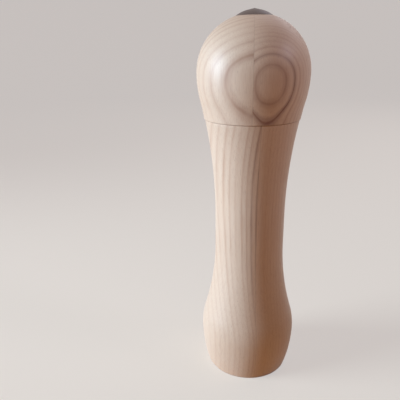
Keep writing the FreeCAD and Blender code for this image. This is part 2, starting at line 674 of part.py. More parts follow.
def make_stator_clip():
    body = new_body("stator_clip")
    outer_r = f"({SLEEVE_BORE_R} + clip_depth - fit_gap)"
    inner_r = f"({outer_r} - clip_width)"
    revolve(
        body, "ring",
        (inner_r, CLIP_Z),
        (outer_r, CLIP_Z),
        (outer_r, STATOR_Z),
        (inner_r, STATOR_Z),
    )
    add_form(body, "SubtractiveBox", "mouth", (f"-{outer_r} - clip_width", "-clip_mouth / 2", CLIP_Z),
             Length="3 * clip_width", Width="clip_mouth", Height="clip_thickness")
    for side in ("-", ""):
        place = (f"-sqrt({inner_r} ^ 2 - (clip_mouth / 2 + clip_lug_r) ^ 2)",
                 f"{side}(clip_mouth / 2 + clip_lug_r)", CLIP_Z)
        add_form(body, "AdditiveCylinder", "lug", place,
                 Radius="clip_lug_r", Height="clip_thickness")
        add_form(body, "SubtractiveCylinder", "lug_hole", place,
                 Radius="clip_hole_r", Height="clip_thickness")
    return body


def rotor_slope():
    """How much the grinding cone narrows for each millimetre of height."""
    bottom_r = value(f"{STATOR_TIP_R} - grind_gap")
    return (bottom_r - value(ROTOR_TOP_R)) / value(f"{ROTOR_TOP_Z} - {STATOR_Z}")


def cone_radius(height):
    """Radius of the cone that the rotor's teeth reach, at that height."""
    return value(ROTOR_TOP_R) + rotor_slope() * (value(ROTOR_TOP_Z) - height)


def toothed_wire(height, tip_r, root_r, teeth, turn):
    """A ring of saw teeth: each has a narrow land, a long back and a steep face."""
    points = []
    for tooth in range(teeth):
        for share, radius in ((0.0, tip_r), (LAND_SHARE, tip_r), (BACK_SHARE, root_r)):
            angle = 2 * math.pi * (tooth + share) / teeth + turn
            points.append(Vector(radius * math.cos(angle), radius * math.sin(angle), height))
    return Part.makePolygon(points + points[:1])


def toothed_cone(low_z, high_z, gap, fine, coarse, teeth, twist, levels):
    """A cone of twisted saw teeth whose depth grows from fine at the bottom to coarse at the top."""
    wires = []
    for level in range(levels):
        share = level / (levels - 1)
        height = low_z + (high_z - low_z) * share
        tip_r = cone_radius(height) + gap
        root_r = tip_r + fine + (coarse - fine) * share
        wires.append(toothed_wire(height, tip_r, root_r, teeth, math.radians(twist) * share))
    return Part.makeLoft(wires, True, True)


def make_rotor():
    low_z, high_z = value(ROTOR_Z), value(ROTOR_TOP_Z)
    cone = toothed_cone(low_z, high_z, 0.0, -value("rotor_fine"), -value("rotor_coarse"),
                        int(value("rotor_teeth")), value("rotor_twist"), ROTOR_LEVELS)
    corner = Vector(value(f"{CORE_R} + core_gap"), 0, low_z)
    turns = [Rotation(Vector(0, 0, 1), FULL_TURN * side / 6) for side in range(7)]
    hexagon = Part.makePolygon([turn.multVec(corner) for turn in turns])
    bore = Part.Face(hexagon).extrude(Vector(0, 0, high_z - low_z))
    rotor = doc.addObject("Part::Feature", "rotor")
    rotor.Shape = cone.cut(bore)
    rotor.Placement = Placement()
    return rotor


def make_stator():
    low_z, high_z = value(STATOR_Z), value(STATOR_TOP_Z)
    base = Vector(0, 0, low_z)
    ring = Part.makeCylinder(value(STATOR_R), high_z - low_z, base)
    bite = toothed_cone(low_z, high_z, value("grind_gap"), value("stator_fine"), value("stator_coarse"),
                        int(value("stator_teeth")), -value("stator_twist"), STATOR_LEVELS)
    ring = ring.cut(bite)
    key_place = Vector(value(SLEEVE_BORE_R), 0, low_z)
    keyway = Part.makeCylinder(value("key_r + fit_gap"), high_z - low_z, key_place)
    for key in range(HOUSING_SCREWS):
        ring = ring.cut(keyway.rotated(Vector(), Vector(0, 0, 1), FULL_TURN * key / HOUSING_SCREWS))
    stator = doc.addObject("Part::Feature", "stator")
    stator.Shape = ring
    stator.Placement = Placement()
    return stator


def make_rotor_core():
    body = new_body("rotor_core")
    add_form(body, "AdditiveCylinder", "flange", ("0", "0", CORE_Z),
             Radius=CORE_FLANGE_R, Height="core_flange_thickness")
    add_form(body, "AdditivePrism", "hex_shank", ("0", "0", ROTOR_Z),
             Circumradius=CORE_R, Height="rotor_height")
    add_form(body, "AdditiveCylinder", "collar", ("0", "0", ROTOR_TOP_Z),
             Radius=CORE_COLLAR_R, Height="core_collar_height")
    hole = f"({SQUARE_FLATS} + 2 * running_gap)"
    add_form(body, "SubtractiveBox", "square_hole", (f"-{hole} / 2", f"-{hole} / 2", CORE_Z),
             Length=hole, Width=hole, Height=f"{CORE_TOP_Z} - {CORE_Z}")
    return body


def biarc(start, start_way, end, end_way):
    """Two tangent arcs from start to end that leave and arrive along the given directions."""
    across = end - start
    both = start_way + end_way
    a = both.dot(both) - 4
    b = -2 * across.dot(both)
    c = across.dot(across)
    reach = (-b - math.sqrt(b * b - 4 * a * c)) / (2 * a)
    first_peak = start + start_way * reach
    last_peak = end - end_way * reach
    meeting = (first_peak + last_peak) * 0.5
    arcs = []
    for begin, peak, finish in ((start, first_peak, meeting), (meeting, last_peak, end)):
        middle = (begin + finish) * 0.5
        half_chord = (finish - begin).Length / 2
        quarter = math.acos(half_chord / reach) / 2
        crest = middle + (peak - middle).normalize() * half_chord * math.tan(quarter)
        arcs.append(Part.Arc(begin, crest, finish).toShape())
    return arcs


def make_rotor_spring():
    """One unbroken coil between the rotor's core and the spider."""
    radius, turns, wire_r = value(SPRING_R), value("spring_turns"), value("wire_r")
    low_z = value(f"{CORE_TOP_Z} + spring_gap + wire_r")
    high_z = value(f"{SPIDER_Z} - spring_gap - wire_r")
    rise = (high_z - low_z) / (2 * math.pi * turns)

    def place(angle):
        return Vector(radius * math.cos(angle), radius * math.sin(angle), low_z + rise * angle)

    def way(angle):
        return Vector(-radius * math.sin(angle), radius * math.cos(angle), rise).normalize()

    spans = math.ceil(turns * 4 - 1e-9)
    angles = [2 * math.pi * turns * span / spans for span in range(spans + 1)]
    edges = []
    for first, last in zip(angles, angles[1:]):
        edges += biarc(place(first), way(first), place(last), way(last))
    path = Part.Wire(edges)
    section = Part.Wire(Part.makeCircle(wire_r, place(0), way(0)))
    coil = path.makePipeShell([section], True, False)
    points = [edge.valueAt(edge.FirstParameter + (edge.LastParameter - edge.FirstParameter) * share / 4)
              for edge in edges for share in range(4)]
    per_turn = round(len(points) / turns)
    least = min((near - far).Length for index, near in enumerate(points)
                for far in points[index + per_turn // 2:])
    print(f"spring: least gap to itself {least - 2 * wire_r:.2f} mm, "
          f"volume {coil.Volume / (math.pi * wire_r ** 2 * path.Length):.4f} of section times length")
    spring = doc.addObject("Part::Feature", "rotor_spring")
    spring.Shape = coil
    spring.Placement = Placement()
    return spring


def make_adjusting_knob():
    body = new_body("adjusting_knob")
    dish_r = "(knob_r - knob_rim)"
    web_z = f"({KNOB_Z} + knob_dish)"
    revolve(
        body, "turned_knob",
        ("0", web_z),
        (dish_r, web_z),
        (dish_r, KNOB_Z),
        ("knob_r - knob_edge", KNOB_Z),
        ("knob_r", f"{KNOB_Z} + knob_edge"),
        ("knob_r", f"{CORE_Z} - knob_edge"),
        ("knob_r - knob_edge", CORE_Z),
        ("0", CORE_Z),
    )
    add_form(body, "SubtractiveCylinder", "shaft_hole", ("0", "0", KNOB_Z),
             Radius=f"{THREAD_R} + fit_gap", Height="knob_height")
    add_form(body, "SubtractivePrism", "nut_pocket", ("0", "0", f"{CORE_Z} - nut_height"),
             Circumradius=f"{NUT_R} + running_gap", Height="nut_height")
    flute = add_form(body, "SubtractiveCylinder", "flute", ("knob_r + flute_r - flute_depth", "0", KNOB_Z),
                     Radius="flute_r", Height="knob_height")
    ring_of(body, "flutes", [flute], "knob_flutes")
    return body


def make_knob_nut():
    body = new_body("knob_nut")
    add_form(body, "AdditivePrism", "hexagon", ("0", "0", f"{CORE_Z} - nut_height"),
             Circumradius=NUT_R, Height="nut_height")
    add_form(body, "SubtractiveCylinder", "threaded_hole", ("0", "0", f"{CORE_Z} - nut_height"),
             Radius=f"{THREAD_R} + running_gap", Height="nut_height")
    return body


def make_end_clip():
    body = new_body("end_clip")
    inner_r = f"({THREAD_R} - end_groove + running_gap)"
    outer_r = f"({inner_r} + end_clip_width)"
    top_z = f"{END_CLIP_Z} + end_clip_thickness"
    revolve(
        body, "ring",
        (inner_r, END_CLIP_Z),
        (outer_r, END_CLIP_Z),
        (outer_r, top_z),
        (inner_r, top_z),
    )
    half_mouth = f"{inner_r} * {END_CLIP_MOUTH}"
    add_form(body, "SubtractiveBox", "mouth", ("0", f"-{half_mouth}", END_CLIP_Z),
             Length=f"{outer_r} + end_clip_width", Width=f"2 * {half_mouth}", Height="end_clip_thickness")
    for side in ("-", ""):
        across, along = f"{inner_r} * cos({RELIEF_TURN}deg)", f"{inner_r} * sin({RELIEF_TURN}deg)"
        place = (f"-{across}", f"{side}{along}", END_CLIP_Z)
        add_form(body, "SubtractiveCylinder", "relief", place,
                 Radius="end_clip_width / 2", Height="end_clip_thickness")
    return body


pieces = [
    make_body(),
    make_head(),
    make_top_cap(),
    make_drive_socket(),
    make_screws("socket_screws", SOCKET_SCREW_R, 0.0, SOCKET_Z, SOCKET_SCREWS),
    make_grip_ring(),
    make_shaft(),
    make_thrust_washer(),
    make_bearing_bush(),
    make_spider(),
    make_housing(),
    make_screws("housing_screws", HOUSING_SCREW_R, SCREW_TURN, FLANGE_Z, HOUSING_SCREWS),
    make_stator(),
    make_stator_clip(),
    make_rotor(),
    make_rotor_core(),
    make_rotor_spring(),
    make_adjusting_knob(),
    make_knob_nut(),
    make_end_clip(),
]
doc.recompute()

failed = [item.Label for item in doc.Objects if {"Invalid", "Error"} & set(item.State)]
for piece in pieces:
    if piece.Shape.isNull() or not piece.Shape.isValid():
        failed.append(piece.Label)
if failed:
    raise RuntimeError(f"these objects failed: {failed}")

os.makedirs("parts", exist_ok=True)
for piece in pieces:
    piece.Shape.exportStep(f"parts/{piece.Label}.step")
    box = piece.Shape.optimalBoundingBox()
    print(f"{piece.Label}: {len(piece.Shape.Solids)} solids, {piece.Shape.Volume:.1f} mm3, "
          f"z {box.ZMin:.2f} to {box.ZMax:.2f}, {box.XLength:.2f} x {box.YLength:.2f}")
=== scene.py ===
# Pepper mill: turned ash body and head, dark plug in the crown, ceramic grinder in the base
import math
import bmesh
import bpy
from mathutils import Matrix, Vector
from mathutils.bvhtree import BVHTree


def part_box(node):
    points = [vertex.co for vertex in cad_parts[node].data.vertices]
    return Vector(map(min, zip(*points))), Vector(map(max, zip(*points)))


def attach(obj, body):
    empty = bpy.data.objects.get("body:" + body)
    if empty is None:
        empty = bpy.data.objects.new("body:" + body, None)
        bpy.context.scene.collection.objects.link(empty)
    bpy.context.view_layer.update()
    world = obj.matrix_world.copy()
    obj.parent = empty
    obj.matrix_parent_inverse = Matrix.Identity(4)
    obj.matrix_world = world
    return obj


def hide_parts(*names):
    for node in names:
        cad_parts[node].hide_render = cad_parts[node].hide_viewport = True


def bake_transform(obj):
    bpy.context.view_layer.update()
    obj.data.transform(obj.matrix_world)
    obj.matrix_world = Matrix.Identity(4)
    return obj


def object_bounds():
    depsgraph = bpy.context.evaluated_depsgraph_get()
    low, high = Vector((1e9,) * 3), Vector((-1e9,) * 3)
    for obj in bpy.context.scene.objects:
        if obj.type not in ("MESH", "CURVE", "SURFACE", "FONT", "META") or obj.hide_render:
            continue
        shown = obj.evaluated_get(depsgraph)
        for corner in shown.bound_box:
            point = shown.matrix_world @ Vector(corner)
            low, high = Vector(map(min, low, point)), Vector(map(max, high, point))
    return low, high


mm = 0.001
weld = 1e-6  # points closer than this become one

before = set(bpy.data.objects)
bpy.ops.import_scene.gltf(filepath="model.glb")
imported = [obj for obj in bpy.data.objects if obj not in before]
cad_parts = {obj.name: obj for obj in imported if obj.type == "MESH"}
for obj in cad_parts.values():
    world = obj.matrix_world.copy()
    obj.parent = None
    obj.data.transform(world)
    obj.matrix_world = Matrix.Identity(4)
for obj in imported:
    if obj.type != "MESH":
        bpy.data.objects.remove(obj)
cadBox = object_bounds()
scene = bpy.context.scene
scene.view_settings.view_transform = "Standard"
print("frame loaded,", len(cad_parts), "nodes")


# Small helpers

def tint(code):  # sRGB hex to linear
    parts = [int(code[i:i + 2], 16) / 255 for i in (1, 3, 5)]
    return tuple(p / 12.92 if p <= 0.04045 else ((p + 0.055) / 1.055) ** 2.4 for p in parts) + (1.0,)


def addNode(tree, kind, settings=None, inputs=None, stops=()):
    node = tree.nodes.new(kind)
    for name, value in (settings or {}).items():
        setattr(node, name, value)
    for name, value in (inputs or {}).items():
        if isinstance(value, bpy.types.NodeSocket):
            tree.links.new(value, node.inputs[name])
        else:
            node.inputs[name].default_value = value
    for i, (place, shade) in enumerate(stops):  # a ramp's places, each with its grey or colour
        elements = node.color_ramp.elements
        element = elements[i] if i < len(elements) else elements.new(1.0)
        element.position = place
        element.color = shade if isinstance(shade, tuple) else (shade, shade, shade, 1.0)
    return node


def newMaterial(name, shader):  # its tree has the shader, and the place on the piece in mm
    material = bpy.data.materials.new(name)
    material.use_nodes = True
    tree = material.node_tree
    tree.nodes.clear()
    bsdf = addNode(tree, "ShaderNodeBsdfPrincipled", None, shader)
    addNode(tree, "ShaderNodeOutputMaterial", None, {"Surface": bsdf.outputs[0]})
    place = addNode(tree, "ShaderNodeTexCoord").outputs["Object"]
    inMm = addNode(tree, "ShaderNodeVectorMath", {"operation": "SCALE"},
                   {0: place, "Scale": 1 / mm}).outputs[0]
    return material, tree, bsdf, inMm


# Ash, turned, sanded and oiled: pale cream with soft darker late wood at the end of each ring,
# fine fibres and short pores along the turning axis, and a satin sheen

ashLook = {
    "pale": "#ECDAC7",
    "cream": "#E2CAB2",
    "late": "#B38469",
    "dark": "#7A4234",
    "endGrain": "#C8A78C",
    # colour of the glue line, and of the painted shade in the seams and at the foot
    "seamsAndShade": "#4E3425",
    "lateAt": 0.62,  # share of a ring at which its late wood is darkest
    "goodYears": 0.45,  # how fast the width of the rings changes from year to year
    "boardSeed": 71,  # so that the two boards draw their years apart
    "drift": (14, 50),  # mm across and along the grain over which the rings wander
    "patch": (9, 24),  # over which a ring's line fades in and out
    "cloud": (22, 60),  # over which the oil took differently
    "fibre": (0.5, 14),  # real fibres and pores are finer, these are coarse enough to show
    "pore": (0.4, 4),
    "fibreTone": 0.22,
    "poreTone": 0.16,
    "glueTone": 0.12,
    "glueWidth": 0.35,  # mm
    "endGrainTone": 0.4,
    "rough": (0.4, 0.48),
    "lateGloss": 0.06,  # late wood is smoother by this
    "relief": 0.04,  # mm
}


def alongGrain(marks):  # scale of a pattern from its marks' width and length in mm
    wide, long = marks
    return (1 / wide, 1 / wide, 1 / long)


def turnedAsh(name, grain):
    material, tree, bsdf, inMm = newMaterial(name, {"IOR": 1.5})

    # height up the mill, and side of the glue line
    height = addNode(tree, "ShaderNodeSeparateXYZ", None, {0: inMm}).outputs["Z"]
    turn = math.radians(grain["glueTurn"])
    across = addNode(tree, "ShaderNodeVectorMath", {"operation": "DOT_PRODUCT"},
                     {0: inMm, 1: (math.cos(turn), math.sin(turn), 0)}).outputs["Value"]
    side = addNode(tree, "ShaderNodeMath", {"operation": "GREATER_THAN"}, {0: across, 1: 0.0}).outputs[0]

    # rings counted outwards from each board's own pith
    counts = []
    clears = []
    for board in grain["boards"]:
        lean = Vector((0, 0, 1)).rotation_difference(Vector((*board["lean"], 1))).to_euler()
        local = addNode(tree, "ShaderNodeMapping", {"vector_type": "TEXTURE"},
                        {"Vector": inMm, "Location": board["pith"], "Rotation": lean}).outputs[0]
        flat = addNode(tree, "ShaderNodeVectorMath", {"operation": "MULTIPLY"},
                       {0: local, 1: (1, 1, 0)}).outputs[0]
        reach = addNode(tree, "ShaderNodeVectorMath", {"operation": "LENGTH"}, {0: flat}).outputs["Value"]
        beyond = addNode(tree, "ShaderNodeMath", {"operation": "SUBTRACT"},
                         {0: reach, 1: board["darkRing"]}).outputs[0]
        counts.append(addNode(tree, "ShaderNodeMath", {"operation": "MULTIPLY_ADD"},
                              {0: beyond, 1: 1 / board["ringWidth"], 2: ashLook["lateAt"]}).outputs[0])
        weak, full, share = board["clearFade"]
        clears.append(addNode(tree, "ShaderNodeMapRange", None,
                              {0: height, 1: weak, 2: full,
                               3: share * board["clear"], 4: board["clear"]}).outputs[0])
    count = addNode(tree, "ShaderNodeMix", {"data_type": "FLOAT"},
                    {0: side, 2: counts[0], 3: counts[1]}).outputs[0]
    clear = addNode(tree, "ShaderNodeMix", {"data_type": "FLOAT"},
                    {0: side, 2: clears[0], 3: clears[1]}).outputs[0]

    # rings wander a little, and good years are wider
    slow = addNode(tree, "ShaderNodeMapping", {"vector_type": "POINT"},
                   {"Vector": inMm, "Scale": alongGrain(ashLook["drift"])}).outputs[0]
    drift = addNode(tree, "ShaderNodeTexNoise", None,
                    {"Vector": slow, "Scale": 1.0, "Detail": 3.0, "Roughness": 0.5}).outputs[0]
    wander = addNode(tree, "ShaderNodeMath", {"operation": "MULTIPLY_ADD"},
                     {0: drift, 1: grain["wander"], 2: -(grain["wander"] + grain["uneven"]) / 2}).outputs[0]
    pace = addNode(tree, "ShaderNodeMath", {"operation": "MULTIPLY"},
                   {0: count, 1: ashLook["goodYears"]}).outputs[0]
    good = addNode(tree, "ShaderNodeTexNoise", {"noise_dimensions": "1D"},
                   {"W": pace, "Scale": 1.0, "Detail": 0.0}).outputs[0]
    uneven = addNode(tree, "ShaderNodeMath", {"operation": "MULTIPLY_ADD"},
                     {0: good, 1: grain["uneven"], 2: wander}).outputs[0]
    ring = addNode(tree, "ShaderNodeMath", {"operation": "ADD"}, {0: count, 1: uneven}).outputs[0]
    year = addNode(tree, "ShaderNodeMath", {"operation": "FLOOR"}, {0: ring}).outputs[0]
    part = addNode(tree, "ShaderNodeMath", {"operation": "FRACT"}, {0: ring}).outputs[0]
    late = addNode(tree, "ShaderNodeValToRGB", None, {0: part},
                   [(0.0, 0.0), (0.2, 0.06), (0.46, 0.42), (ashLook["lateAt"], 1.0),
                    (0.77, 0.4), (0.9, 0.0)])
    late.color_ramp.interpolation = "EASE"

    # some years are darker than others, and each fades in and out along its line
    yearSeed = addNode(tree, "ShaderNodeMath", {"operation": "MULTIPLY_ADD"},
                       {0: side, 1: ashLook["boardSeed"], 2: year}).outputs[0]
    luck = addNode(tree, "ShaderNodeTexWhiteNoise", {"noise_dimensions": "1D"},
                   {"W": yearSeed}).outputs["Value"]
    strength = addNode(tree, "ShaderNodeMapRange", None, {0: luck, 3: 0.35, 4: 1.0}).outputs[0]
    patch = addNode(tree, "ShaderNodeMapping", {"vector_type": "POINT"},
                    {"Vector": inMm, "Scale": alongGrain(ashLook["patch"])}).outputs[0]
    fade = addNode(tree, "ShaderNodeTexNoise", None,
                   {"Vector": patch, "Scale": 1.0, "Detail": 2.0}).outputs[0]
    fading = addNode(tree, "ShaderNodeMapRange", None,
                     {0: fade, 1: 0.35, 2: 0.65, 3: 0.55, 4: 1.0}).outputs[0]
    lateHere = addNode(tree, "ShaderNodeMath", {"operation": "MULTIPLY"},
                       {0: late.outputs[0], 1: fading}).outputs[0]
    yearHere = addNode(tree, "ShaderNodeMath", {"operation": "MULTIPLY"},
                       {0: strength, 1: clear}).outputs[0]
    lateShare = addNode(tree, "ShaderNodeMath", {"operation": "MULTIPLY"},
                        {0: lateHere, 1: yearHere}).outputs[0]

    # a dark year stains the wood on both sides of its line
    halo = addNode(tree, "ShaderNodeValToRGB", None, {0: part},
                   [(0.0, 0.0), (0.25, 0.14), (0.5, 0.5), (ashLook["lateAt"], 1.0),
                    (0.72, 0.55), (1.0, 0.0)])
    halo.color_ramp.interpolation = "EASE"
    depths = []
    for board in grain["boards"]:
        depth = 0.0
        for darkYear, amount in board["darkYears"]:
            chosen = addNode(tree, "ShaderNodeMath", {"operation": "COMPARE"},
                             {0: year, 1: darkYear, 2: 0.1}).outputs[0]
            depth = addNode(tree, "ShaderNodeMath", {"operation": "MULTIPLY_ADD"},
                            {0: chosen, 1: amount, 2: depth}).outputs[0]
        weak, full, share = board["darkFade"]
        shown = addNode(tree, "ShaderNodeMapRange", None,
                        {0: height, 1: weak, 2: full, 3: share, 4: 1.0}).outputs[0]
        depths.append(addNode(tree, "ShaderNodeMath", {"operation": "MULTIPLY"},
                              {0: depth, 1: shown}).outputs[0])
    dark = addNode(tree, "ShaderNodeMix", {"data_type": "FLOAT"},
                   {0: side, 2: depths[0], 3: depths[1]}).outputs[0]
    haloHere = addNode(tree, "ShaderNodeMath", {"operation": "MULTIPLY"},
                       {0: halo.outputs[0], 1: fading}).outputs[0]
    darkShare = addNode(tree, "ShaderNodeMath", {"operation": "MULTIPLY"},
                        {0: haloHere, 1: dark}).outputs[0]

    # fibres
    strand = addNode(tree, "ShaderNodeMapping", {"vector_type": "POINT"},
                     {"Vector": inMm, "Scale": alongGrain(ashLook["fibre"])}).outputs[0]
    fibre = addNode(tree, "ShaderNodeTexNoise", None,
                    {"Vector": strand, "Scale": 1.0, "Detail": 3.0, "Roughness": 0.65}).outputs[0]
    fibreTone = addNode(tree, "ShaderNodeMapRange", None,
                        {0: fibre, 1: 0.45, 2: 0.75, 3: 0.0, 4: ashLook["fibreTone"]}).outputs[0]

    # pores of the early wood, short dashes just after each ring's start
    dash = addNode(tree, "ShaderNodeMapping", {"vector_type": "POINT"},
                   {"Vector": inMm, "Scale": alongGrain(ashLook["pore"])}).outputs[0]
    pore = addNode(tree, "ShaderNodeTexNoise", None,
                   {"Vector": dash, "Scale": 1.0, "Detail": 1.0}).outputs[0]
    poreHere = addNode(tree, "ShaderNodeMapRange", None,
                       {0: pore, 1: 0.6, 2: 0.7, 3: 0.0, 4: ashLook["poreTone"]}).outputs[0]
    early = addNode(tree, "ShaderNodeMapRange", None, {0: part, 1: 0.6, 2: 0.9, 3: 0.4, 4: 1.0}).outputs[0]
    poreTone = addNode(tree, "ShaderNodeMath", {"operation": "MULTIPLY"},
                       {0: poreHere, 1: early}).outputs[0]

    # broad clouds of oil
    cloud = addNode(tree, "ShaderNodeMapping", {"vector_type": "POINT"},
                    {"Vector": inMm, "Scale": alongGrain(ashLook["cloud"])}).outputs[0]
    cloudTone = addNode(tree, "ShaderNodeTexNoise", None,
                        {"Vector": cloud, "Scale": 1.0, "Detail": 3.0}).outputs[0]

    # glue line, and painted shade where the wood meets wood or table
    away = addNode(tree, "ShaderNodeMath", {"operation": "ABSOLUTE"}, {0: across}).outputs[0]
    glueAndShade = addNode(tree, "ShaderNodeMapRange", None,
                   {0: away, 1: 0.05, 2: ashLook["glueWidth"], 3: ashLook["glueTone"], 4: 0.0}).outputs[0]
    # each band is painted shade, darkest at its level
    for level, width, depth in grain["seamsAndShade"]:
        off = addNode(tree, "ShaderNodeMath", {"operation": "SUBTRACT"}, {0: height, 1: level}).outputs[0]
        gap = addNode(tree, "ShaderNodeMath", {"operation": "ABSOLUTE"}, {0: off}).outputs[0]
        shadeBand = addNode(tree, "ShaderNodeMapRange", None,
                       {0: gap, 1: 0.1, 2: width, 3: depth, 4: 0.0}).outputs[0]
        glueAndShade = addNode(tree, "ShaderNodeMath", {"operation": "MAXIMUM"}, {0: glueAndShade, 1: shadeBand}).outputs[0]

    # end grain drinks more oil
    facing = addNode(tree, "ShaderNodeTexCoord").outputs["Normal"]
    upward = addNode(tree, "ShaderNodeSeparateXYZ", None, {0: facing}).outputs["Z"]
    steep = addNode(tree, "ShaderNodeMath", {"operation": "ABSOLUTE"}, {0: upward}).outputs[0]
    endGrain = addNode(tree, "ShaderNodeMapRange", None,
                       {0: steep, 1: 0.4, 2: 1.0, 3: 0.0, 4: ashLook["endGrainTone"]}).outputs[0]

    # colour, from the ground up
    colour = addNode(tree, "ShaderNodeMix", {"data_type": "RGBA"},
                     {0: cloudTone, 6: tint(ashLook["pale"]), 7: tint(ashLook["cream"])}).outputs[2]
    coats = ((lateShare, "late"), (darkShare, "dark"), (fibreTone, "late"), (poreTone, "dark"),
             (glueAndShade, "seamsAndShade"), (endGrain, "endGrain"))
    for share, tone in coats:
        colour = addNode(tree, "ShaderNodeMix", {"data_type": "RGBA"},
                         {0: share, 6: colour, 7: tint(ashLook[tone])}).outputs[2]
    tree.links.new(colour, bsdf.inputs["Base Color"])

    # satin, a little glossier on late wood
    smooth, dull = ashLook["rough"]
    sheen = addNode(tree, "ShaderNodeMapRange", None,
                    {0: cloudTone, 1: 0.3, 2: 0.7, 3: smooth, 4: dull}).outputs[0]
    sheenRing = addNode(tree, "ShaderNodeMath", {"operation": "MULTIPLY_ADD"},
                        {0: lateShare, 1: -ashLook["lateGloss"], 2: sheen}).outputs[0]
    tree.links.new(sheenRing, bsdf.inputs["Roughness"])

    # fibres stand out and pores sink by hundredths of a millimetre
    relief = addNode(tree, "ShaderNodeMath", {"operation": "MULTIPLY_ADD"},
                     {0: poreTone, 1: -1.0, 2: fibre}).outputs[0]
    bump = addNode(tree, "ShaderNodeBump", None,
                   {"Strength": 0.5, "Distance": ashLook["relief"] * mm, "Height": relief}).outputs[0]
    tree.links.new(bump, bsdf.inputs["Normal"])
    return material


# Outlines drawn with a pen of one vertex, then turned about the mill's axis

def penLine(bm, tip, r, z):
    tip = bmesh.ops.extrude_vert_indiv(bm, verts=[tip])["verts"][0]
    tip.co = (r, 0, z)
    return tip


def penArc(bm, tip, middle, end, steps):  # round through a middle point
    ax, az = tip.co.x, tip.co.z
    bx, bz = middle
    cx, cz = end
    area = 2 * (ax * (bz - cz) + bx * (cz - az) + cx * (az - bz))
    a, b, c = ax * ax + az * az, bx * bx + bz * bz, cx * cx + cz * cz
    ox = (a * (bz - cz) + b * (cz - az) + c * (az - bz)) / area
    oz = (a * (cx - bx) + b * (ax - cx) + c * (bx - ax)) / area
    swing = math.atan2(az - oz, ax - ox) - math.atan2(cz - oz, cx - ox)
    swing = (swing + math.pi) % math.tau - math.pi
    arc = bmesh.ops.spin(bm, geom=[tip], cent=(ox, 0, oz), axis=(0, 1, 0), angle=swing, steps=steps)
    tip = [part for part in arc["geom_last"] if isinstance(part, bmesh.types.BMVert)][0]
    tip.co = (cx, 0, cz)
    return tip


def spinRound(bm, steps):
    bmesh.ops.spin(bm, geom=bm.verts[:] + bm.edges[:], cent=(0, 0, 0), axis=(0, 0, 1),
                   angle=math.tau, steps=steps, use_merge=True)
    bmesh.ops.remove_doubles(bm, verts=bm.verts, dist=weld)
    bmesh.ops.recalc_face_normals(bm, faces=bm.faces)


turned = {"corner": 0.4, "segments": 3, "sharp": 0.6}  # angles in radians


def breakCorners(bm, edge, way):
    corners = [corner for corner in bm.edges
               if corner.is_manifold and corner.calc_face_angle() > way["corner"]]
    bmesh.ops.bevel(bm, geom=corners, offset=edge, affect="EDGES", segments=way["segments"],
                    profile=0.5, material=-1)


def turnOutline(bm, shape):
    spinRound(bm, shape["steps"])
    breakCorners(bm, shape["edge"], turned)


def finishPiece(bm, name, material, way=turned):
    for edge in bm.edges:
        edge.smooth = not edge.is_manifold or edge.calc_face_angle() < way["sharp"]
    for face in bm.faces:
        face.smooth = True
    mesh = bpy.data.meshes.new(name)
    bm.to_mesh(mesh)
    bm.free()
    piece = bpy.data.objects.new(name, mesh)
    scene.collection.objects.link(piece)
    mesh.materials.append(material)
    return piece


def standFor(piece, node, body):
    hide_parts(node)
    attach(piece, body)


# Sizes read off a CAD node with rays, towards the front where no screw hole is

def raysAt(node):
    bm = bmesh.new()
    bm.from_mesh(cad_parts[node].data)
    rays = BVHTree.FromBMesh(bm)
    bm.free()
    return rays


def outside(rays, z):
    return -rays.ray_cast(Vector((0, -1, z)), Vector((0, 1, 0)))[0].y


def inside(rays, z):
    return -rays.ray_cast(Vector((0, 0, z)), Vector((0, -1, 0)))[0].y


def above(rays, r, z):
    return rays.ray_cast(Vector((0, -r, z)), Vector((0, 0, 1)))[0].z


def below(rays, r, z):
    return rays.ray_cast(Vector((0, -r, z)), Vector((0, 0, -1)))[0].z


# Body

bodyShape = {
    "bulb": 25.8 * mm,  # heights where one arc of the outline meets the next
    "shoulder": 37.7 * mm,
    "neckLow": 83.4 * mm,
    "neckHigh": 103.4 * mm,
    "arcSteps": 20,
    "flareSteps": 24,
    "edge": 0.3 * mm,
    "steps": 160,
}
bodyGrain = {
    "glueTurn": 11.5,  # degrees round from the front
    "boards": [  # left and right of the glue line, in mm: each has its own pith, with its lean,
        # a dark ring so far from it, and years counted from that ring with how dark they are;
        # the fades are two heights between which the rings come out, and their share at the first
        {"pith": (35, 0, 110), "lean": (-0.057, 0.063), "ringWidth": 2.4,
         "clear": 0.55, "clearFade": (50, 105, 0.5),
         "darkRing": 37.64, "darkYears": [(0, 0.56), (1, 0.52)], "darkFade": (45, 120, 0.25)},
        {"pith": (-129.9, -75, 110), "lean": (0.0, 0.0), "ringWidth": 2.35,
         "clear": 0.22, "clearFade": (30, 100, 0.6),
         "darkRing": 152.05, "darkYears": [], "darkFade": (45, 120, 0.25)},
    ],
    "wander": 0.25,
    "uneven": 0.35,
    # painted shade: darker bands in the seam with the head and along the foot
    "seamsAndShade": [(160.25, 0.35, 0.35), (0.0, 0.9, 0.4)],  # level, width, depth
}
ashBody = turnedAsh("ash_turned_body", bodyGrain)

